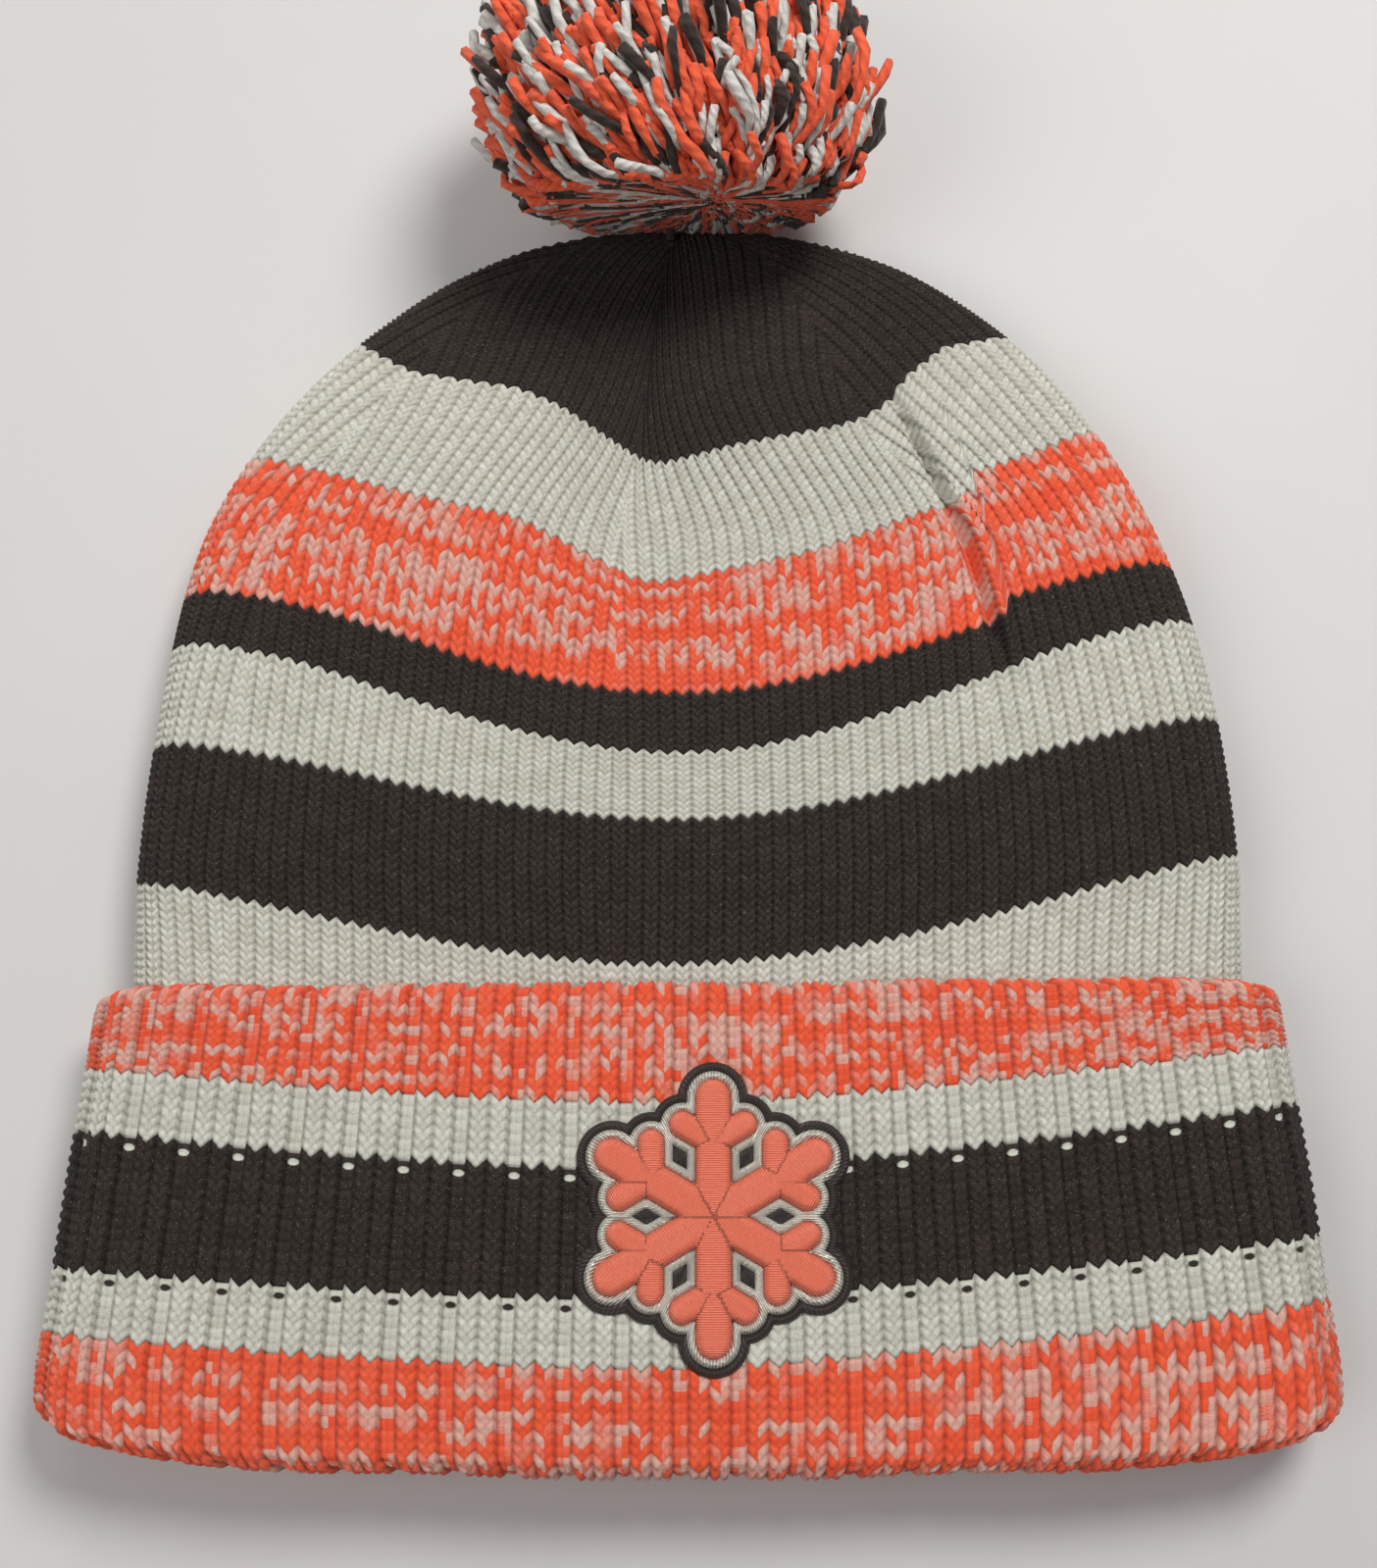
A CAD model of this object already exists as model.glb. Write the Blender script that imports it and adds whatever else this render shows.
import math
import bmesh
import bpy
import numpy as np
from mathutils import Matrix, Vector


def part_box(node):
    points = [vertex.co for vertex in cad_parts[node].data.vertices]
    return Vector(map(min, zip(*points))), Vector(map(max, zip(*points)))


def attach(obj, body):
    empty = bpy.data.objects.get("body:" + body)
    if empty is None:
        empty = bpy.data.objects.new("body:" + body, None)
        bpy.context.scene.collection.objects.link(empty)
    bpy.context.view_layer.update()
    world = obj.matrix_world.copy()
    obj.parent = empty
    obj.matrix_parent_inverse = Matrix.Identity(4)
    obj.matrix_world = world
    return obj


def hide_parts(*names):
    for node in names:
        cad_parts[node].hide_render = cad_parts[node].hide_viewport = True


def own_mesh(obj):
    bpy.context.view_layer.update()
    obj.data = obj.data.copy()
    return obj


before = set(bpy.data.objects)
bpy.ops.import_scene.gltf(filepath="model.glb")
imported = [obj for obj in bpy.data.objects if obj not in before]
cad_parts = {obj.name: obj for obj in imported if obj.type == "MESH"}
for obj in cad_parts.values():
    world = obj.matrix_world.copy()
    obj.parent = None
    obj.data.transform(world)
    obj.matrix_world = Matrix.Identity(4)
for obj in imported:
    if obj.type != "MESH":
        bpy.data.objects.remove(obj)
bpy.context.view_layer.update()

# The table: the hat lies flat on a plain pale surface, seen from above and a little from the cuff's side.
# A broad soft lamp stands above and to the right, a weaker one fills from the left, and the room is dim.
FOLD_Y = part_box("cuff_marl_fold")[0][1]
CAMERA_FORWARD = 0.0320
CAMERA_HEIGHT = 0.3575
CAMERA_TILT = 16
scene = bpy.context.scene
camera = bpy.data.objects.new("camera", bpy.data.cameras.new("camera"))
camera.data.lens = 40.5
camera.data.sensor_width = 36
camera.location = (0, FOLD_Y + CAMERA_FORWARD, CAMERA_HEIGHT)
camera.rotation_euler = (math.radians(CAMERA_TILT), 0, 0)
scene.collection.objects.link(camera)
scene.camera = camera
scene.view_settings.view_transform = "Standard"

for lamp, place, size, power in (
    ("key_lamp", (0.28, 0.34, 0.75), 0.35, 5.6),
    ("fill_lamp", (-0.55, -0.25, 0.70), 0.60, 2.6),
    ("crown_lamp", (-0.25, 0.75, 0.45), 0.40, 1.2),
):
    light = bpy.data.objects.new(lamp, bpy.data.lights.new(lamp, "AREA"))
    light.data.shape = "DISK"
    light.data.size = size
    light.data.energy = power
    light.location = place
    light.rotation_euler = (Vector(place) - Vector((0, 0, 0.01))).to_track_quat("Z", "Y").to_euler()
    scene.collection.objects.link(light)

world = bpy.data.worlds.new("room")
world.use_nodes = True
world.node_tree.nodes["Background"].inputs[0].default_value = (0.95, 0.97, 1.0, 1)
world.node_tree.nodes["Background"].inputs[1].default_value = 0.22
scene.world = world


def linear(red, green, blue):
    """A screen colour from 0 to 255 as a linear colour."""
    parts = [channel / 255 for channel in (red, green, blue)]
    return tuple(((p + 0.055) / 1.055) ** 2.4 if p > 0.04 else p / 12.92 for p in parts) + (1,)


def node(tree, kind, *feeds, out=0, **settings):
    """Adds one shader node, sets or links its sockets in order, and gives one of its outputs."""
    new = tree.nodes.new("ShaderNode" + kind)
    for key, value in settings.items():
        setattr(new, key, value)
    for socket, feed in zip(new.inputs, feeds):
        if isinstance(feed, bpy.types.NodeSocket):
            tree.links.new(feed, socket)
        elif feed is not None:
            socket.default_value = feed
    return new.outputs[out]


def calc(tree, operation, *feeds):
    """One sum or function of numbers in a shader."""
    return node(tree, "Math", *feeds, operation=operation)


def mix(tree, amount, first, second):
    """Blends from the first colour to the second by an amount from 0 to 1."""
    return node(tree, "MixRGB", amount, first, second)


def finish_shader(tree, colour, roughness, height=None, relief=0.0002, sheen=0.0, specular=0.3):
    """Feeds a colour and a height into the Principled shader. Even values sit on its own sockets."""
    shader = tree.nodes["Principled BSDF"]
    tree.links.new(colour, shader.inputs["Base Color"])
    shader.inputs["Roughness"].default_value = roughness
    shader.inputs["Specular IOR Level"].default_value = specular
    shader.inputs["Sheen Weight"].default_value = sheen
    shader.inputs["Sheen Roughness"].default_value = 0.5
    if height is not None:
        bump = node(tree, "Bump", 0.8, relief)
        bump_node = tree.nodes[-1]
        tree.links.new(height, bump_node.inputs["Height"])
        tree.links.new(bump, shader.inputs["Normal"])


TABLE_SIZE = 3.0
TABLE_TOP = -0.0003
floor_stuff = bpy.data.materials.new("table_top")
floor_stuff.use_nodes = True
tree = floor_stuff.node_tree
place = node(tree, "TexCoord", out=3)
mottle = node(tree, "TexNoise", place, None, 9.0, 3.0, 0.5)
finish_shader(tree, mix(tree, mottle, linear(203, 200, 197), linear(211, 208, 205)), 0.8)
table_shape = bmesh.new()
bmesh.ops.create_grid(table_shape, x_segments=1, y_segments=1, size=TABLE_SIZE)
bmesh.ops.translate(table_shape, verts=table_shape.verts, vec=(0, 0, TABLE_TOP))
table_mesh = bpy.data.meshes.new("table_top")
table_shape.to_mesh(table_mesh)
table_shape.free()
table_mesh.materials.append(floor_stuff)
table_top = bpy.data.objects.new("table_top", table_mesh)
scene.collection.objects.link(table_top)

# The body: one tube of rib-knitted acrylic yarn, closed at the top in six gores. It lies pressed flat,
# two layers of fabric with a rounded edge each side. The stripes are knitted in one after another, and
# each is its own piece here, in courses and ribs of real stitches.
RIBS = 144
RIB_COLUMNS = 8
COURSE_ROWS = 3
CROWN_ROWS = 2
RIB_PITCH = 3.05
COURSE_HEIGHT = 1.7
CHEVRON = 0.85
STITCH_RELIEF = 0.95
BODY_WALL = 2.4
GORE_RIBS = 24
GORE_SEAMS = (0.2, 0.867, 1.533, 2.2, 2.867, 3.533, 4.2)

# Heights are in millimetres from the folded edge, and c is the place across the hat, -1 left to 1 right.
GORE_START = 111
TIP = 261
CUFF_TOP = 88
CLEAR_OF_CUFF = 116
HALF_WIDTH_IN_CUFF = 108.3
HALF_WIDTH = 110.2
MIDDLE_SEAM = -0.1
CREASE_AT = 0.588
CREASE_STEP = 0.012
CUFF_MIDDLE = 11
TIP_MIDDLE = 8
LOWEST = 0.2


def smooth(value, low, high):
    """0 below low, 1 above high, and a soft step between them."""
    t = np.clip((value - low) / (high - low), 0, 1)
    return t * t * (3 - 2 * t)


def body_width(y):
    """Half the flat body's width: nearly straight up to where the gores start, then drawn in to the tip."""
    growth = np.clip((y - CUFF_TOP) / (GORE_START - CUFF_TOP), 0, 1)
    wide = HALF_WIDTH_IN_CUFF + (HALF_WIDTH - HALF_WIDTH_IN_CUFF) * growth
    t = np.clip((y - GORE_START) / (TIP - GORE_START), 0, 0.9985)
    return np.where(y < GORE_START, wide, HALF_WIDTH * (1 - t**2.3) ** (1 / 2.2))


def body_side_width(y, c):
    """The left edge bellies out a little more than the right one, where the fabric has relaxed."""
    return body_width(y) + np.where(c < 0, 3.0, -0.6) * np.exp(-(((y - 190) / 26) ** 2)) * c * c


def body_thickness(y):
    """Half the thickness of the two layers: pressed inside the cuff, fuller above it, thin at the tip."""
    t = np.clip((y - GORE_START) / (TIP - GORE_START), 0, 0.99)
    return (7 + 1.9 * smooth(y, CUFF_TOP, CLEAR_OF_CUFF)) * np.sqrt(1 - t**4)


def body_middle(y):
    """The height of the tube's middle above the table: held up inside the cuff, then lying down."""
    free = body_thickness(y) + 0.4
    free = free + (TIP_MIDDLE - free) * smooth(y, 225, TIP + 1)
    return CUFF_MIDDLE + (free - CUFF_MIDDLE) * smooth(y, CUFF_TOP, CLEAR_OF_CUFF)


def flat_tube(across, side, half_width, radius):
    """A flattened tube's section: two flat layers joined by half-round edges.
    Gives x, z and the outward way at each place across it."""
    straight = half_width - radius
    run = np.abs(across) * (straight + radius * math.pi / 2)
    turn = np.maximum(run - straight, 0) / radius
    sign = np.where(across < 0, -1.0, 1.0)
    x = sign * (np.minimum(run, straight) + radius * np.sin(turn))
    return x, side * radius * np.cos(turn), sign * np.sin(turn), side * np.cos(turn)


def smile(c, mid, rise, wave, tilt):
    """A stripe's edge: lowest in the middle, higher at both sides, a little tilted."""
    bow = wave * (1 - np.cos(math.pi * np.abs(c))) / 2 + (1 - wave) * c * c
    return mid + rise * bow + tilt * c


def gore_vee(c, side, low, places, rises, step_at, step):
    """A stripe's edge across the gores: a point at the middle seam, slack beside it, a step at the crease."""
    eased = [np.interp(c + shift * (1 - c * c), places, rises) for shift in (-0.03, 0, 0.03)]
    front = sum(eased) / 3 + step * smooth(c, step_at, step_at + CREASE_STEP)
    back = np.where(c < 0, rises[0], rises[-1] + step) * (0.5 - 0.5 * np.cos(math.pi * c))
    return low + np.where(side > 0, front, back)


MARL_TOP_EDGE = ((-1, -0.5, -0.35, -0.08, 0.23, 0.57, 1), (32, 19, 15.5, 0, 7.2, 20, 35.5))
CROWN_EDGE = (
    (-1, -0.7, -0.42, -0.3, -0.08, 0.1, 0.36, 0.45, 0.56, 0.7, 1),
    (33.5, 23, 19.3, 14.6, 0.5, 5.2, 9.8, 13.5, 22.5, 29.5, 34),
)
BODY_COURSES = (20, 17, 11, 8, 15, 17, 35)
COURSE_STARTS = np.concatenate([[0], np.cumsum(BODY_COURSES)])


def body_levels(c, side):
    """The hat's height at every edge between stripes, from the hidden start to the tip."""
    first = smile(c, 93, 20.5, 0.5, 3)
    creased = 3 * smooth(c, CREASE_AT, CREASE_AT + CREASE_STEP)
    fourth = smile(c, 148.3, 24.5, 1, 1.8) + np.where(side > 0, creased, 1.5 + 1.5 * np.sin(math.pi / 2 * c))
    return [
        first - BODY_COURSES[0] * COURSE_HEIGHT,
        first,
        smile(c, 121.8, 19.5, 0.8, 3),
        smile(c, 135.8, 26.5, 1, 2.8),
        fourth,
        gore_vee(c, side, 171.8, *MARL_TOP_EDGE, CREASE_AT, 4),
        gore_vee(c, side, 199.5, *CROWN_EDGE, 0.9, 0),
        TIP + 0 * c,
    ]


def body_height(c, side, course):
    """The hat's height at any course, counted from the hidden start inside the cuff."""
    levels = body_levels(c, side)
    height = levels[0] + 0 * course
    for low, high, start, count in zip(levels, levels[1:], COURSE_STARTS, BODY_COURSES):
        height = height + (high - low) * np.clip((course - start) / count, 0, 1)
    return height + COURSE_HEIGHT * np.minimum(course, 0)


def body_lie(x, y, side):
    """How far the upper layer sinks or lifts where it has settled: soft hollows and one sharp crease."""
    crease_x = np.interp(y, (150, 183, 215, 235), (66, 57.5, 44, 33))
    along = smooth(y, 146, 166) * (1 - smooth(y, 204, 226))
    groove = -2.6 * np.exp(-(((x - crease_x) / 1.2) ** 2)) * along
    lip = 1.7 * smooth(x, crease_x, crease_x + 2.5) * (1 - smooth(x, crease_x + 4, crease_x + 20)) * along
    valley = -1.5 * np.exp(-(((y - 152 - 0.22 * (x + 40)) / 10) ** 2)) * np.exp(-(((x + 45) / 38) ** 2))
    hollow = -1.3 * np.exp(-(((x + 6) / 14) ** 2)) * smooth(y, 150, 200) * (1 - smooth(y, 225, 250))
    ripple = 0.45 * np.sin(x / 13 + y / 29) * np.sin(y / 17 - x / 41)
    return np.where(side > 0, groove + lip + valley + hollow + ripple, 0.0)


def around():
    """The columns of the whole tube: rib number, place in its gore, and the gore's two seams."""
    u = np.arange(RIBS * RIB_COLUMNS + 1) / RIB_COLUMNS
    gore = np.minimum((u // GORE_RIBS).astype(int), len(GORE_SEAMS) - 2)
    seams = np.array(GORE_SEAMS)
    return u, u - GORE_RIBS * (gore + 0.5), gore, seams[gore], seams[gore + 1]


def across_from(p):
    """Place round the tube, 0 to 4, as a place across its width, -1 to 1, and the layer it is on."""
    p = np.mod(p, 4)
    return np.where(p < 2, p - 1, 3 - p), np.where(p < 2, 1.0, -1.0)


def leg_profile(ur):
    """How high a knit stitch stands across its rib: two rounded legs, a dip between, a deep gap beside."""
    steps = (0, 0.125, 0.25, 0.375, 0.5)
    return np.interp(np.abs(ur), steps, (0.38, 0.82, 1.0, 0.72, 0.0))


def course_profile(course):
    """How high a stitch stands along its course: low where it goes under the next."""
    return 0.30 + 0.70 * np.sin(math.pi * np.clip(np.mod(course, 1), 0, 1)) ** 0.7


def body_surface(course, lift, plain=False):
    """The points of the body's surface at each row of courses, lifted outwards from the fabric's own line."""
    u, u_gore, gore, left, right = around()
    course = course[:, None] + 0 * u[None, :]
    seam_c, seam_side = across_from(np.where(u_gore < 0, left, right))
    seam_y = body_height(seam_c, seam_side, course)
    most = np.minimum(GORE_RIBS / 2, 0.333 * body_width(seam_y) / RIB_PITCH)
    u_kept = np.clip(u_gore, -most, most)
    part = (u_kept + most) / (2 * most)
    c, side = across_from(left + (right - left) * part)
    power = 1 + 0.5 * smooth(body_height(c, side, course), 180, 230)
    to_edge = np.where(c > MIDDLE_SEAM, 1 - MIDDLE_SEAM, 1 + MIDDLE_SEAM)
    lean = (c - MIDDLE_SEAM) / to_edge
    front_c = MIDDLE_SEAM + np.sign(lean) * np.abs(lean) ** power * to_edge
    c = np.where(side > 0, front_c, c)
    ur = np.mod(u_kept, 1) - 0.5
    chevron = 0 if plain else CHEVRON * (2 * np.abs(ur) - 0.5)
    y = body_height(c, side, course + chevron)
    width, radius, middle = body_side_width(y, c), body_thickness(y), body_middle(y)
    x, z, out_x, out_z = flat_tube(c, side, width, radius)
    slope = (body_width(y + 0.5) - body_width(y - 0.5)) * np.abs(out_x)
    slope = slope + (body_thickness(y + 0.5) - body_thickness(y - 0.5)) * np.abs(out_z)
    size = np.sqrt(1 + slope**2)
    lift = np.maximum(lift, -0.6 * radius)
    relief = 0 * x + lift
    if not plain:
        decreased = smooth(GORE_RIBS / 2 - most, 0, 0.5)
        seam_groove = 1 - 0.9 * decreased * np.exp(-(((most - np.abs(u_kept)) / 0.5) ** 2))
        relief = lift + STITCH_RELIEF * leg_profile(ur) * course_profile(course) * seam_groove
    z = z + middle + side * 0.7 * (1 - c * c) * smooth(y, CUFF_TOP, CLEAR_OF_CUFF) + body_lie(x, y, side)
    x, y, z = (x + relief * out_x / size, y - relief * slope / size, z + relief * out_z / size)
    points = np.stack([x, y, np.maximum(z, LOWEST)], axis=-1)
    uv = np.stack([u_kept + GORE_RIBS * (gore + 0.5), course + 0 * u_kept], axis=-1)
    return points, uv


def skin(name, points, uv):
    """A grid of faces laid over rows of points in millimetres, closed where its rows and columns meet."""
    grid = bmesh.new()
    grid.loops.layers.uv.new("UVMap")
    rows, columns = points.shape[:2]
    bmesh.ops.create_grid(grid, x_segments=columns - 1, y_segments=rows - 1, size=1, calc_uvs=True)
    mesh = bpy.data.meshes.new(name)
    grid.to_mesh(mesh)
    grid.free()
    placed = points.reshape(-1, 3) / 1000 + (0, FOLD_Y, 0)
    mesh.vertices.foreach_set("co", placed.ravel())
    corners = np.empty(len(mesh.loops), dtype=np.int32)
    mesh.loops.foreach_get("vertex_index", corners)
    mesh.uv_layers[0].data.foreach_set("uv", uv.reshape(-1, 2)[corners].ravel())
    merged = bmesh.new()
    merged.from_mesh(mesh)
    bmesh.ops.remove_doubles(merged, verts=merged.verts, dist=2e-6)
    loose = [edge for edge in merged.edges if not edge.link_faces]
    bmesh.ops.delete(merged, geom=loose, context="EDGES")
    merged.to_mesh(mesh)
    merged.free()
    mesh.shade_smooth()
    return mesh


def add_piece(name, mesh, material, body, node_name):
    """Puts a finished piece in the scene, on its body and the CAD node that it stands for."""
    mesh.materials.clear()
    mesh.materials.append(material)
    piece = bpy.data.objects.new(name, mesh)
    scene.collection.objects.link(piece)
    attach(piece, body)
    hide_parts(node_name)
    return piece


def stitch_coordinates(tree):
    """Rib and course numbers, the place in the stitch, and one random value for each stitch."""
    uv = node(tree, "UVMap")
    split = node(tree, "SeparateXYZ", uv)
    u, v = split, split.node.outputs[1]
    ur = calc(tree, "ABSOLUTE", calc(tree, "SUBTRACT", calc(tree, "FRACT", u), 0.5))
    whole = node(tree, "CombineXYZ", calc(tree, "FLOOR", u), calc(tree, "FLOOR", v), 0.0)
    chance = node(tree, "TexWhiteNoise", whole)
    return u, v, ur, chance


def yarn_height(tree, u, v, ur):
    """Fine relief: the plies twisted in the yarn, and loose fibres along it."""
    twist = calc(tree, "MULTIPLY_ADD", ur, 26.0, calc(tree, "MULTIPLY", v, 6.283))
    plies = calc(tree, "SINE", twist)
    along = node(tree, "CombineXYZ", calc(tree, "MULTIPLY", u, 3.0), calc(tree, "MULTIPLY", v, 11.0), 0.0)
    fibres = node(tree, "TexNoise", along, None, 1.0, 3.0, 0.6)
    return calc(tree, "MULTIPLY_ADD", plies, 0.22, fibres), fibres


def gaps(tree, v, ur):
    """How deep in shade a point of the knit lies: between ribs, under the next course, between the legs."""
    beside = node(tree, "MapRange", ur, 0.30, 0.49, 0.0, 0.75)
    from_edge = calc(tree, "PINGPONG", calc(tree, "SUBTRACT", v, 0.05), 0.5)
    under = node(tree, "MapRange", from_edge, 0.0, 0.26, 0.42, 0.0)
    fold = node(tree, "MapRange", ur, 0.0, 0.10, 0.30, 0.0)
    return calc(tree, "MINIMUM", calc(tree, "ADD", calc(tree, "ADD", beside, under), fold), 1.0)


def plain_yarn(
    name, deep, light, fleck, gap_colour, gap_share, fleck_share, sheen, dash_course=None, dash_colour=None
):
    """One colour of yarn: darker in the gaps, paler on the raised legs, each stitch a little different.
    Where the next stripe starts, its yarn shows once through each purl rib, as a dash."""
    stuff = bpy.data.materials.new(name)
    stuff.use_nodes = True
    tree = stuff.node_tree
    u, v, ur, chance = stitch_coordinates(tree)
    height, fibres = yarn_height(tree, u, v, ur)
    crown = calc(tree, "SINE", calc(tree, "MULTIPLY", calc(tree, "FRACT", v), math.pi))
    tone = calc(tree, "MULTIPLY_ADD", chance, 0.34, calc(tree, "MULTIPLY_ADD", fibres, 1.1, -0.35))
    tone = calc(tree, "MULTIPLY_ADD", crown, 0.26, tone)
    colour = mix(tree, tone, deep, light)
    shade = calc(tree, "MULTIPLY", gaps(tree, v, ur), gap_share)
    colour = mix(tree, shade, colour, gap_colour)
    place = node(tree, "TexCoord", out=3)
    specks = node(tree, "TexNoise", place, None, 2600.0, 2.0, 0.7)
    speck = node(tree, "MapRange", specks, fleck_share, fleck_share + 0.10, 0.0, 0.75)
    colour = mix(tree, speck, colour, fleck)
    if dash_course is not None:
        purl = calc(tree, "GREATER_THAN", calc(tree, "MODULO", u, 3.0), 2.0)
        up = calc(tree, "DIVIDE", calc(tree, "SUBTRACT", v, dash_course - 0.80), 0.34)
        out = calc(tree, "DIVIDE", ur, 0.40)
        far = calc(tree, "ADD", calc(tree, "MULTIPLY", up, up), calc(tree, "MULTIPLY", out, out))
        far = calc(tree, "ADD", far, calc(tree, "MULTIPLY_ADD", fibres, 0.9, -0.45))
        shown = calc(tree, "MULTIPLY", purl, node(tree, "MapRange", far, 0.55, 1.15, 1.0, 0.0))
        colour = mix(tree, shown, colour, dash_colour)
    finish_shader(tree, colour, 0.92, height, 0.00028, sheen)
    return stuff


CREAM = {
    "deep": linear(180, 177, 162),
    "light": linear(226, 223, 211),
    "fleck": linear(240, 240, 230),
    "gap_colour": linear(104, 100, 84),
    "gap_share": 0.62,
    "fleck_share": 0.60,
    "sheen": 0.15,
}
BROWN = {
    "deep": linear(28, 21, 18),
    "light": linear(62, 51, 44),
    "fleck": linear(128, 112, 100),
    "gap_colour": linear(9, 6, 5),
    "gap_share": 0.9,
    "fleck_share": 0.61,
    "sheen": 0.05,
}
cream_yarn = plain_yarn("cream_yarn", **CREAM)
brown_yarn = plain_yarn("brown_yarn", **BROWN)


def marl(name, streak):
    """Two yarns that take turns: solid orange, and a twist of orange with pale pinkish grey."""
    stuff = bpy.data.materials.new(name)
    stuff.use_nodes = True
    tree = stuff.node_tree
    u, v, ur, chance = stitch_coordinates(tree)
    height, fibres = yarn_height(tree, u, v, ur)
    course = calc(tree, "FLOOR", v)
    along = calc(tree, "MULTIPLY", u, streak)
    run = node(tree, "CombineXYZ", along, calc(tree, "MULTIPLY", course, 5.37), 1.7)
    turn = node(tree, "TexNoise", run, None, 1.0, 1.0, 0.5)
    twisted = node(tree, "MapRange", turn, 0.40, 0.46, 0.0, 1.0)
    leg = node(tree, "CombineXYZ", calc(tree, "FLOOR", calc(tree, "MULTIPLY", u, 2.0)), course, 4.0)
    spot = node(tree, "TexNoise", leg, None, 0.37, 2.0, 0.9)
    drift = calc(tree, "MULTIPLY_ADD", node(tree, "TexWhiteNoise", leg), 0.34, spot)
    drift = calc(tree, "MULTIPLY_ADD", fibres, 0.22, drift)
    pale = node(tree, "MapRange", drift, 0.70, 0.84, 0.0, 1.0)
    orange_tone = calc(tree, "MULTIPLY_ADD", fibres, 0.8, calc(tree, "MULTIPLY", chance, 0.3))
    orange = mix(tree, orange_tone, linear(228, 66, 30), linear(252, 108, 68))
    pink = mix(tree, fibres, linear(204, 140, 122), linear(240, 198, 182))
    pale_here = calc(tree, "MULTIPLY", pale, calc(tree, "MULTIPLY_ADD", twisted, 0.95, 0.05))
    shade = calc(tree, "MULTIPLY", gaps(tree, v, ur), 0.6)
    colour = mix(tree, shade, mix(tree, pale_here, orange, pink), linear(134, 36, 20))
    finish_shader(tree, colour, 0.9, height, 0.00028, 0.15)
    return stuff


body_marl_yarn = marl("marl_yarn_body", 0.055)

HIDDEN_START = -28.0
HIDDEN_STEP = 4.0
BODY_BANDS = (
    ("body_cream_lower", cream_yarn, "cream_yarn"),
    ("body_brown_wide", brown_yarn, "brown_yarn"),
    ("body_cream_middle", cream_yarn, "cream_yarn"),
    ("body_brown_narrow", brown_yarn, "brown_yarn"),
    ("body_marl", body_marl_yarn, "marl_yarn"),
    ("body_cream_upper", cream_yarn, "cream_yarn"),
    ("crown_brown", brown_yarn, "brown_yarn"),
)

for band, (name, yarn, slot) in enumerate(BODY_BANDS):
    start, end = COURSE_STARTS[band], COURSE_STARTS[band + 1]
    row_share = CROWN_ROWS if name == "crown_brown" else COURSE_ROWS
    rows = start + np.arange((end - start) * row_share + 1) / row_share
    outside, outside_uv = body_surface(rows, 0.0)
    if name == "body_cream_lower":
        hidden, hidden_uv = body_surface(np.arange(HIDDEN_START, 0.0, HIDDEN_STEP), 0.0, plain=True)
        outside = np.concatenate([hidden, outside])
        outside_uv = np.concatenate([hidden_uv, outside_uv])
    inside, inside_uv = body_surface(outside_uv[::-1, 0, 1][:: row_share * 2], -BODY_WALL)
    last, last_uv = body_surface(outside_uv[:1, 0, 1], -BODY_WALL)
    points = np.concatenate([outside, inside, last, outside[:1]])
    uv = np.concatenate([outside_uv, inside_uv, last_uv, outside_uv[:1]])
    points[:, -1] = points[:, 0]
    piece = add_piece(name + "_knit", skin(name, points, uv), yarn, "hat", name)

# The cuff: the same tube knitted in a wide rib of two knit stitches and one purl, and folded up over the
# body. Its folded edge is the hat's mouth, and its marled top edge rolls over and ends inside.
CUFF_REPEATS = 48
REPEAT_RIBS = 3
CUFF_STITCH = 1.05
CUFF_WALL = 2.3
CUFF_HALF_WIDTH = 120.5
HIDDEN_COURSES = 4.8
CUFF_REACH = 11.0
FOLD_RADIUS = 3.3
ROLL_RADIUS = 1.8
FOLD_COURSES = 5.2
ROLL_COURSES = 2.8
CUFF_EDGES = (0, 8, 14, 26, 32, 42)
EMBLEM_AT = (4.6, 45.0)
ARMS = 6
ARM_LENGTH = 21.8
ARM_HALF = 3.2
BRANCH_HALF = 2.4
BRANCH_LENGTH = 6.6
BRANCH_AT = 13.4
BRANCH_LEAN = 60


def emblem_bars():
    """The snowflake's bars: start, end and half width of each arm and branch."""
    bars = []
    for turn in range(ARMS):
        arm = math.radians(90 + 360 / ARMS * turn)
        way = np.array((math.cos(arm), math.sin(arm)))
        bars.append((np.zeros(2), way * ARM_LENGTH, ARM_HALF))
        for lean in (-BRANCH_LEAN, BRANCH_LEAN):
            branch = arm + math.radians(lean)
            off = np.array((math.cos(branch), math.sin(branch))) * BRANCH_LENGTH
            bars.append((way * BRANCH_AT, way * BRANCH_AT + off, BRANCH_HALF))
    return bars


def emblem_distance(x, y):
    """Distance outside the snowflake's outline, negative inside, and the nearest bar's own coordinates."""
    best = np.full(np.shape(x), 1e9)
    along, across = np.zeros(np.shape(x)), np.zeros(np.shape(x))
    for number, (start, end, half) in enumerate(emblem_bars()):
        length = float(np.hypot(*(end - start)))
        way = (end - start) / length
        run = (x - EMBLEM_AT[0] - start[0]) * way[0] + (y - EMBLEM_AT[1] - start[1]) * way[1]
        off = (y - EMBLEM_AT[1] - start[1]) * way[0] - (x - EMBLEM_AT[0] - start[0]) * way[1]
        gap = np.hypot(off, run - np.clip(run, 0, length)) - half
        nearer = gap < best
        best = np.where(nearer, gap, best)
        along = np.where(nearer, run + 40 * number, along)
        across = np.where(nearer, off, across)
    return best, along, across


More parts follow.
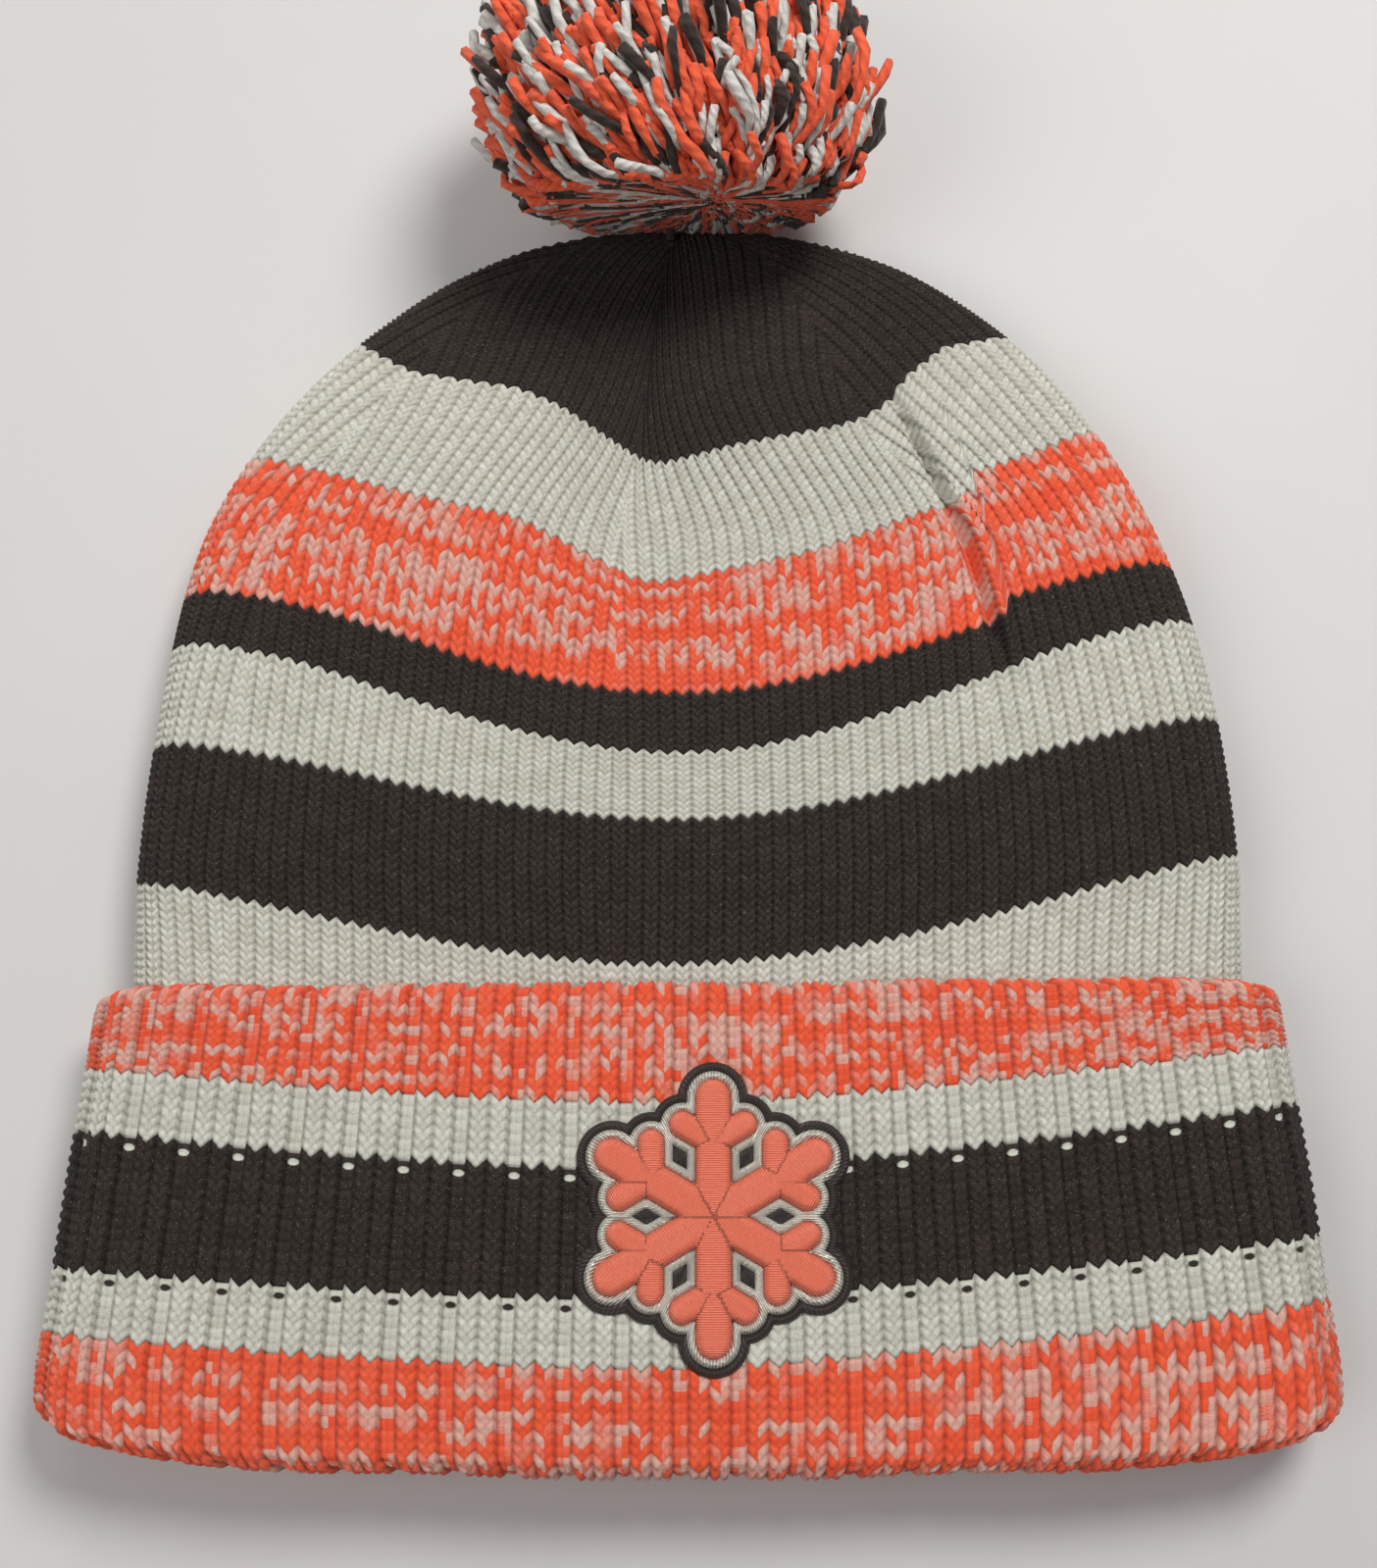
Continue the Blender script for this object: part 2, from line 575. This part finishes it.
def cuff_levels(c):
    """The hat's height at each edge between the cuff's stripes, from the fold to where the top rolls over."""
    bow = np.abs(c) ** 1.5
    fold = 4.5 * c * c + 10 * np.abs(c) ** 12
    return [
        fold + FOLD_RADIUS,
        18.4 + 9.8 * bow + 3 * c,
        30.4 + 9.2 * bow + 3 * c,
        53.5 + 10.8 * bow + 2.7 * c,
        66 + 9.7 * bow + 2.3 * c,
        88.4 + c - 3 * np.abs(c) ** 16 - ROLL_RADIUS,
    ]


def cuff_surface(course, lift, plain=False):
    """The cuff's surface at each row of courses: inside the mouth, round the fold, up and over the top."""
    u = np.arange(RIBS * RIB_COLUMNS + 1) / RIB_COLUMNS
    in_repeat = np.mod(u, REPEAT_RIBS)
    part = np.interp(in_repeat, (0, 1, 2, 3), (0, 0.364, 0.729, 1))
    c, side = across_from(4 / CUFF_REPEATS * (u // REPEAT_RIBS + part))
    purl = in_repeat > 1.99
    ur = np.mod(u, 1) - 0.5
    course = course[:, None] + 0 * u[None, :]
    bend = np.where(purl, -0.15, CHEVRON * (2 * np.abs(ur) - 0.5))
    v = course + (0 if plain else bend)
    levels = cuff_levels(c)
    y = levels[0] + 0 * v
    for low, high, start, end in zip(levels, levels[1:], CUFF_EDGES, CUFF_EDGES[1:]):
        y = y + (high - low) * np.clip((v - start) / (end - start), 0, 1)
    fold = math.pi * np.clip(v / FOLD_COURSES + 0.5, -0.5, 0.5)
    roll = math.pi * np.clip((v - CUFF_EDGES[-1]) / ROLL_COURSES, 0, 1)
    y = y - FOLD_RADIUS * np.cos(fold) + ROLL_RADIUS * np.sin(roll)
    y = y + 2 * np.maximum(-FOLD_COURSES - v, 0)
    reach = CUFF_REACH + FOLD_RADIUS * (np.sin(fold) - 1) + ROLL_RADIUS * (np.cos(roll) - 1)
    drawn_in = 5 * np.clip((y - 20) / 65, 0, 1) + 1.2 * (1 - smooth(y, 0, 16))
    straight = CUFF_HALF_WIDTH - CUFF_REACH - drawn_in
    x, z, out_x, out_z = flat_tube(c, side, straight + reach, reach)
    outward = np.sin(fold) * np.cos(roll)
    up = -np.cos(fold) + np.sin(roll)
    relief = lift + 0 * x
    if not plain:
        knit = leg_profile(ur) * course_profile(v)
        bars = -0.75 + 0.95 * np.sin(math.pi * np.mod(v, 1)) * (1 - 2.6 * ur**2)
        stands = np.where(purl, bars, knit)
        gap = emblem_distance(x, y)[0]
        pressed = np.where(side > 0, 1 - smooth(gap, 2.5, 6.0), 0)
        wave = 0.35 * np.sin(x / 9.5 + np.sin(y / 15)) * np.sin(y / 21 + x / 37) * (1 - pressed)
        relief = lift + CUFF_STITCH * stands * (1 - 0.7 * pressed) + wave - 0.4 * pressed
    x = x + relief * out_x * outward
    z = CUFF_MIDDLE + z + relief * out_z * outward
    y = y + relief * up
    uv = np.stack([u + 0 * y, course], axis=-1)
    return np.stack([x, y, np.maximum(z, LOWEST)], axis=-1), uv


BROWN_DASH = linear(46, 37, 31)
CREAM_DASH = linear(214, 213, 200)
cuff_cream = plain_yarn("cream_yarn_cuff", **CREAM, dash_course=CUFF_EDGES[2], dash_colour=BROWN_DASH)
cuff_brown = plain_yarn("brown_yarn_cuff", **BROWN, dash_course=CUFF_EDGES[3], dash_colour=CREAM_DASH)
cuff_marl = marl("marl_yarn_cuff", 0.07)
CUFF_BANDS = (
    ("cuff_marl_fold", cuff_marl, "marl_yarn"),
    ("cuff_cream_lower", cuff_cream, "cream_yarn"),
    ("cuff_brown", cuff_brown, "brown_yarn"),
    ("cuff_cream_upper", cuff_cream, "cream_yarn"),
    ("cuff_marl_edge", cuff_marl, "marl_yarn"),
)

for band, (name, yarn, slot) in enumerate(CUFF_BANDS):
    start, end = CUFF_EDGES[band], CUFF_EDGES[band + 1]
    low = start - FOLD_COURSES - HIDDEN_COURSES if name == "cuff_marl_fold" else start
    high = end + ROLL_COURSES if name == "cuff_marl_edge" else end
    count = round((high - low) * COURSE_ROWS)
    rows = np.linspace(low, high, count + 1)
    outside, outside_uv = cuff_surface(rows, 0.0)
    back = rows[rows <= end + 0.01][::-1]
    back = np.concatenate([back[:-1:COURSE_ROWS], back[-1:]])
    inside, inside_uv = cuff_surface(back, -CUFF_WALL)
    points = np.concatenate([outside, inside, outside[:1]])
    uv = np.concatenate([outside_uv, inside_uv, outside_uv[:1]])
    points[:, -1] = points[:, 0]
    piece = add_piece(name + "_knit", skin(name, points, uv), yarn, "hat", name)

# The emblem on the cuff: a plain snowflake in raised satin stitch over foam. A silver cord is stitched round
# it, and a dark one round that. Each is a closed piece of thread, sewn down into the knit.
EMBLEM_CELL = 0.42
EMBLEM_HALF = 29.4
EMBLEM_TOP = 21.9
SEWN_DEPTH = 0.9
EDGE_PULLS = 3
SILVER_EDGE = 1.7
DARK_EDGE = 3.4


def thread_stuff(name, deep, light, pitch, gloss, metal=0.0):
    """Embroidery thread: fine parallel lines across each bar, a little uneven, with a thread's shine."""
    stuff = bpy.data.materials.new(name)
    stuff.use_nodes = True
    tree = stuff.node_tree
    split = node(tree, "SeparateXYZ", node(tree, "UVMap"))
    along, across = split, split.node.outputs[1]
    slow = node(tree, "CombineXYZ", along, calc(tree, "MULTIPLY", across, 0.4), 0.0)
    wander = node(tree, "TexNoise", slow, None, 1.3, 2.0, 0.5)
    line = calc(tree, "MULTIPLY_ADD", wander, 1.3, calc(tree, "MULTIPLY", along, 6.283 / pitch))
    threads = calc(tree, "SINE", line)
    number = calc(tree, "FLOOR", calc(tree, "DIVIDE", along, pitch))
    strand = node(tree, "TexWhiteNoise", number, noise_dimensions="1D")
    fine_along, fine_across = calc(tree, "MULTIPLY", along, 5.0), calc(tree, "MULTIPLY", across, 0.7)
    fine = node(tree, "CombineXYZ", fine_along, fine_across, 0.0)
    fibres = node(tree, "TexNoise", fine, None, 1.0, 2.0, 0.6)
    tone = calc(tree, "MULTIPLY_ADD", threads, 0.24, calc(tree, "MULTIPLY_ADD", fibres, 0.7, 0.12))
    tone = calc(tree, "MULTIPLY_ADD", strand, 0.12, tone)
    finish_shader(tree, mix(tree, tone, deep, light), gloss, threads, 0.00012, 0.1, 0.5)
    tree.nodes["Principled BSDF"].inputs["Metallic"].default_value = metal
    return stuff


def places_of(verts):
    """The x and the y of some vertices."""
    return np.array([v.co.x for v in verts]), np.array([v.co.y for v in verts])


def embroider(name, low, high, rise, dome, material):
    """A closed raised piece between two distances from the snowflake's outline, rounded across."""
    shape = bmesh.new()
    shape.loops.layers.uv.new("UVMap")
    steps = int(2 * EMBLEM_HALF / EMBLEM_CELL)
    bmesh.ops.create_grid(shape, x_segments=steps, y_segments=steps, size=EMBLEM_HALF)
    bmesh.ops.translate(shape, verts=shape.verts, vec=(*EMBLEM_AT, 0))
    shape.verts.ensure_lookup_table()
    slack = 0.3 * EMBLEM_CELL
    gap = emblem_distance(*places_of(shape.verts))[0]
    outside = [v for v, d in zip(shape.verts, gap) if d > high + slack or d < low - slack]
    bmesh.ops.delete(shape, geom=outside, context="VERTS")
    bmesh.ops.delete(shape, geom=[v for v in shape.verts if not v.link_faces], context="VERTS")
    edge = [v for v in shape.verts if v.is_boundary]
    for _ in range(EDGE_PULLS):
        x, y = places_of(edge)
        here = emblem_distance(x, y)[0]
        slope_x = (emblem_distance(x + 0.02, y)[0] - emblem_distance(x - 0.02, y)[0]) / 0.04
        slope_y = (emblem_distance(x, y + 0.02)[0] - emblem_distance(x, y - 0.02)[0]) / 0.04
        goal = np.where(np.abs(here - low) < np.abs(here - high), low, high)
        for v, dx, dy in zip(edge, (here - goal) * slope_x, (here - goal) * slope_y):
            v.co.x -= dx
            v.co.y -= dy
    bottom = list(shape.verts)
    raised = bmesh.ops.extrude_face_region(shape, geom=list(shape.faces), use_keep_orig=True)["geom"]
    top = [part for part in raised if isinstance(part, bmesh.types.BMVert)]
    for v, d in zip(top, emblem_distance(*places_of(top))[0]):
        inside = min(max(min(d - low, high - d) / dome, 0), 1)
        v.co.z = EMBLEM_TOP + rise * (0.35 + 0.65 * math.sqrt(1 - (1 - inside) ** 2))
    for v in bottom:
        v.co.z = EMBLEM_TOP - SEWN_DEPTH
    bmesh.ops.recalc_face_normals(shape, faces=shape.faces)
    mesh = bpy.data.meshes.new(name)
    shape.to_mesh(mesh)
    shape.free()
    places = np.empty(len(mesh.vertices) * 3)
    mesh.vertices.foreach_get("co", places)
    places = places.reshape(-1, 3)
    gap, along, across = emblem_distance(places[:, 0], places[:, 1])
    corners = np.empty(len(mesh.loops), dtype=np.int32)
    mesh.loops.foreach_get("vertex_index", corners)
    sewn = np.stack([along, across], axis=-1)
    if low >= 0:
        around_way = np.arctan2(places[:, 1] - EMBLEM_AT[1], places[:, 0] - EMBLEM_AT[0])
        sewn = np.stack([around_way * 26, gap], axis=-1)
    mesh.uv_layers[0].data.foreach_set("uv", sewn[corners].ravel())
    mesh.vertices.foreach_set("co", (places / 1000 + (0, FOLD_Y, 0)).ravel())
    mesh.shade_smooth()
    mesh.set_sharp_from_angle(angle=math.radians(50))
    return add_piece(name + "_stitches", mesh, material, "hat", name)


satin_thread = thread_stuff("orange_satin", linear(226, 78, 48), linear(255, 146, 116), 0.42, 0.36)
silver_thread = thread_stuff("silver_thread", linear(140, 134, 118), linear(246, 242, 228), 0.6, 0.32, 0.2)
dark_thread = thread_stuff("dark_thread", linear(18, 11, 9), linear(56, 41, 35), 0.6, 0.45)
embroider("emblem_satin", -9, 0.05, 2.3, 1.5, satin_thread)
embroider("emblem_silver_border", 0.0, SILVER_EDGE, 1.45, 0.85, silver_thread)
embroider("emblem_dark_edge", SILVER_EDGE, DARK_EDGE, 1.0, 0.85, dark_thread)

# The hidden sewn parts: the stabiliser and foam of the emblem, the gathering stitch that draws the crown
# shut, the gore seams, the back seam, the blank label inside, and the pom's thread with its tie and knot.


def repaint(name, material):
    """Gives a CAD piece a better material in the slots it already has."""
    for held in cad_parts[name].material_slots:
        held.material = material


def plain_cloth(name, deep, light, grain, gloss):
    """A small sewn part's cloth or thread: fine crossed lines and a soft mottle."""
    stuff = bpy.data.materials.new(name)
    stuff.use_nodes = True
    tree = stuff.node_tree
    place = node(tree, "TexCoord", out=3)
    bands = {"wave_type": "BANDS", "bands_direction": "DIAGONAL"}
    weave = node(tree, "TexWave", place, grain, 2.0, 1.0, 2.0, out=1, **bands)
    mottle = node(tree, "TexNoise", place, None, grain * 0.7, 3.0, 0.6)
    tone = calc(tree, "MULTIPLY_ADD", weave, 0.4, calc(tree, "MULTIPLY", mottle, 0.6))
    finish_shader(tree, mix(tree, tone, deep, light), gloss, tone, 0.0001, 0.1)
    return stuff


stabiliser = plain_cloth("stabiliser", linear(190, 190, 184), linear(228, 228, 222), 900, 0.9)
foam = plain_cloth("embroidery_foam", linear(214, 74, 44), linear(240, 110, 78), 700, 0.8)
brown_thread = plain_cloth("brown_thread", linear(28, 20, 17), linear(62, 50, 43), 1400, 0.7)
seam_thread = plain_cloth("seam_thread", linear(150, 149, 132), linear(206, 205, 190), 1200, 0.85)
label_satin = plain_cloth("label_satin", linear(214, 214, 208), linear(240, 240, 236), 1600, 0.35)
repaint("emblem_backing", stabiliser)
repaint("emblem_foam", foam)
repaint("care_label", label_satin)
for sewn_part in ("crown_dart_seams", "back_seam"):
    repaint(sewn_part, seam_thread)
for sewn_part in ("crown_gather_stitch", "pom_anchor_knot", "pom_shank", "pom_tie"):
    repaint(sewn_part, brown_thread)

# The pom-pom: thousands of cut ends of orange, grey and brown yarn, tied tight at the middle and combed
# into a ball. It lies squashed against the crown's point, with its parting turned up towards the hat, and
# gives way a little more as it swings to either side.
POM_CENTRE = np.array((-3.5, 279.0, 37.0))
POM_SIZE = np.array((39.5, 35.0, 33.5))
POM_TIE = np.array((5.0, 255.0, 40.0))
POM_PIVOT = np.array((-4.0, 255.0, 9.0))
PRESSED_WAY = np.array((0.0, 0.94, 0.34))
PRESSED_GAP = 6.1
POM_ENDS = 3500
PARTING = 0.93
CORE_SHARE = 0.62
CORE_SHIFT = (0, 3, -1)
STRAND_RINGS = 8
STRAND_SIDES = 5
STRAND_LOWEST = 1.4
draw = np.random.default_rng(7)


def pom_ends(count):
    """Even directions over the ball, in random order, each with its own small scatter."""
    step = np.arange(count) + 0.5
    height = 1 - 2 * step / count
    turn = step * math.pi * (1 + 5**0.5)
    ring = np.sqrt(1 - height**2)
    ways = np.stack([ring * np.cos(turn), ring * np.sin(turn), height], axis=-1)
    ways = ways + draw.normal(0, 0.03, ways.shape)
    return ways / np.linalg.norm(ways, axis=1, keepdims=True)


def strand_lines(ways):
    """Each strand's middle line, from the tie out to its cut end, bowed the way a combed pom-pom lies."""
    count = len(ways)
    reach = draw.normal(1.0, 0.045, (count, 1)) + 0.10 * (draw.random((count, 1)) > 0.96)
    ends = POM_CENTRE + ways * POM_SIZE * reach
    starts = POM_TIE + draw.normal(0, 2.2, (count, 3))
    starts[:, 2] -= 4
    chord = ends - starts
    length = np.linalg.norm(chord, axis=1, keepdims=True)
    bow = ways * POM_SIZE * 0.30 + draw.normal(0, 2.4, (count, 3))
    t = np.linspace(0, 1, STRAND_RINGS)[None, :, None]
    lines = starts[:, None] + chord[:, None] * t + 4 * t * (1 - t) * 0.72 * bow[:, None]
    wiggle = draw.normal(0, 0.22, (count, STRAND_RINGS, 3)) * np.minimum(length / 30, 1)[:, None]
    lines = lines + wiggle * (t > 0.01)
    lines[:, :, 2] = np.maximum(lines[:, :, 2], STRAND_LOWEST)
    return lines


def clear_of_crown(lines):
    """Presses the ball flat where it lies on the crown, so that it can tip up without cutting in."""
    short = np.maximum(PRESSED_GAP - (lines - POM_PIVOT) @ PRESSED_WAY, 0)
    spring = draw.uniform(1.0, 1.3, (len(lines), 1))
    return lines + (short * spring)[:, :, None] * PRESSED_WAY


def strands(name, lines, thickness):
    """Round tapering yarn along each line, laid as one long grid and then parted between strands."""
    count = len(lines)
    tangent = np.gradient(lines, axis=1)
    tangent = tangent / np.maximum(np.linalg.norm(tangent, axis=2, keepdims=True), 1e-6)
    helper = np.where(np.abs(tangent[:, :, :1]) > 0.8, (0.0, 1.0, 0.0), (1.0, 0.0, 0.0))
    side = np.cross(tangent, helper)
    side = side / np.linalg.norm(side, axis=2, keepdims=True)
    other = np.cross(tangent, side)
    t = np.linspace(0, 1, STRAND_RINGS)
    swell = np.interp(t, (0, 0.01, 0.5, 0.9, 1), (0, 0.55, 0.85, 1.1, 1.0))
    radius = thickness[:, None] / 2 * swell[None, :] * draw.uniform(0.88, 1.12, (count, STRAND_RINGS))
    radius[:, 0] = 0
    turn = np.arange(STRAND_SIDES + 1)[:, None] % STRAND_SIDES * 2 * math.pi / STRAND_SIDES
    ring = side[:, :, None] * np.cos(turn) + other[:, :, None] * np.sin(turn)
    tube = lines[:, :, None] + ring * radius[:, :, None, None]
    cap = lines[:, -1:, None] + tangent[:, -1:, None] * 0.35 + 0 * ring[:, -1:]
    tube = np.concatenate([tube, cap], axis=1)
    v = np.concatenate([t, [1.03]])[None, :, None] + np.arange(count)[:, None, None] * 3
    u = np.linspace(0, 1, STRAND_SIDES + 1)[None, None, :] + 0 * v
    uv = np.stack([u, v + 0 * u], axis=-1)
    return skin(name, tube.reshape(-1, STRAND_SIDES + 1, 3), uv.reshape(-1, STRAND_SIDES + 1, 2))


def add_core(mesh):
    """Adds the dense middle of the ball, so that nothing shows through between the strands."""
    core = bmesh.new()
    core.from_mesh(mesh)
    for v in bmesh.ops.create_icosphere(core, subdivisions=4, radius=1.0)["verts"]:
        place = np.array(v.co) * POM_SIZE * CORE_SHARE + POM_CENTRE + CORE_SHIFT
        v.co = Vector(place / 1000 + (0, FOLD_Y, 0))
    core.to_mesh(mesh)
    core.free()
    mesh.shade_smooth()


def pom_yarn(name, deep, light):
    """Fluffy pom yarn: soft plies turning round the strand, paler fibres, and each strand its own shade."""
    stuff = bpy.data.materials.new(name)
    stuff.use_nodes = True
    tree = stuff.node_tree
    split = node(tree, "SeparateXYZ", node(tree, "UVMap"))
    u, v = split, split.node.outputs[1]
    strand = calc(tree, "FLOOR", calc(tree, "DIVIDE", v, 3.0))
    shade = node(tree, "TexWhiteNoise", strand, noise_dimensions="1D")
    twist = calc(tree, "SINE", calc(tree, "MULTIPLY_ADD", v, 60.0, calc(tree, "MULTIPLY", u, 12.566)))
    place = node(tree, "TexCoord", out=3)
    fluff = node(tree, "TexNoise", place, None, 1400.0, 3.0, 0.7)
    tone = calc(tree, "MULTIPLY_ADD", shade, 0.55, calc(tree, "MULTIPLY_ADD", twist, 0.14, 0.05))
    tone = calc(tree, "MULTIPLY_ADD", fluff, 0.45, tone)
    height = calc(tree, "MULTIPLY_ADD", twist, 0.3, fluff)
    finish_shader(tree, mix(tree, tone, deep, light), 0.95, height, 0.0004, 0.15)
    return stuff


all_ways = pom_ends(POM_ENDS)
parting = (POM_TIE - POM_CENTRE) / POM_SIZE
parting = parting / np.linalg.norm(parting)
all_ways = all_ways[all_ways @ parting < PARTING]
colour_of = draw.choice(3, len(all_ways), p=(0.44, 0.32, 0.24))
pom_colours = (
    ("pom_orange_yarn", "pom_orange", linear(196, 56, 26), linear(250, 112, 72), 2.15),
    ("pom_grey_yarn", "pom_grey", linear(150, 146, 138), linear(232, 228, 220), 2.0),
    ("pom_brown_yarn", "pom_brown", linear(26, 19, 16), linear(66, 52, 45), 2.15),
)
for index, (name, slot, deep, light, thick) in enumerate(pom_colours):
    lines = clear_of_crown(strand_lines(all_ways[colour_of == index]))
    mesh = strands(name, lines, draw.normal(thick, 0.18, len(lines)))
    if name == "pom_brown_yarn":
        add_core(mesh)
    piece = add_piece(name + "_strands", mesh, pom_yarn(name, deep, light), "pom", name)
    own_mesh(piece)
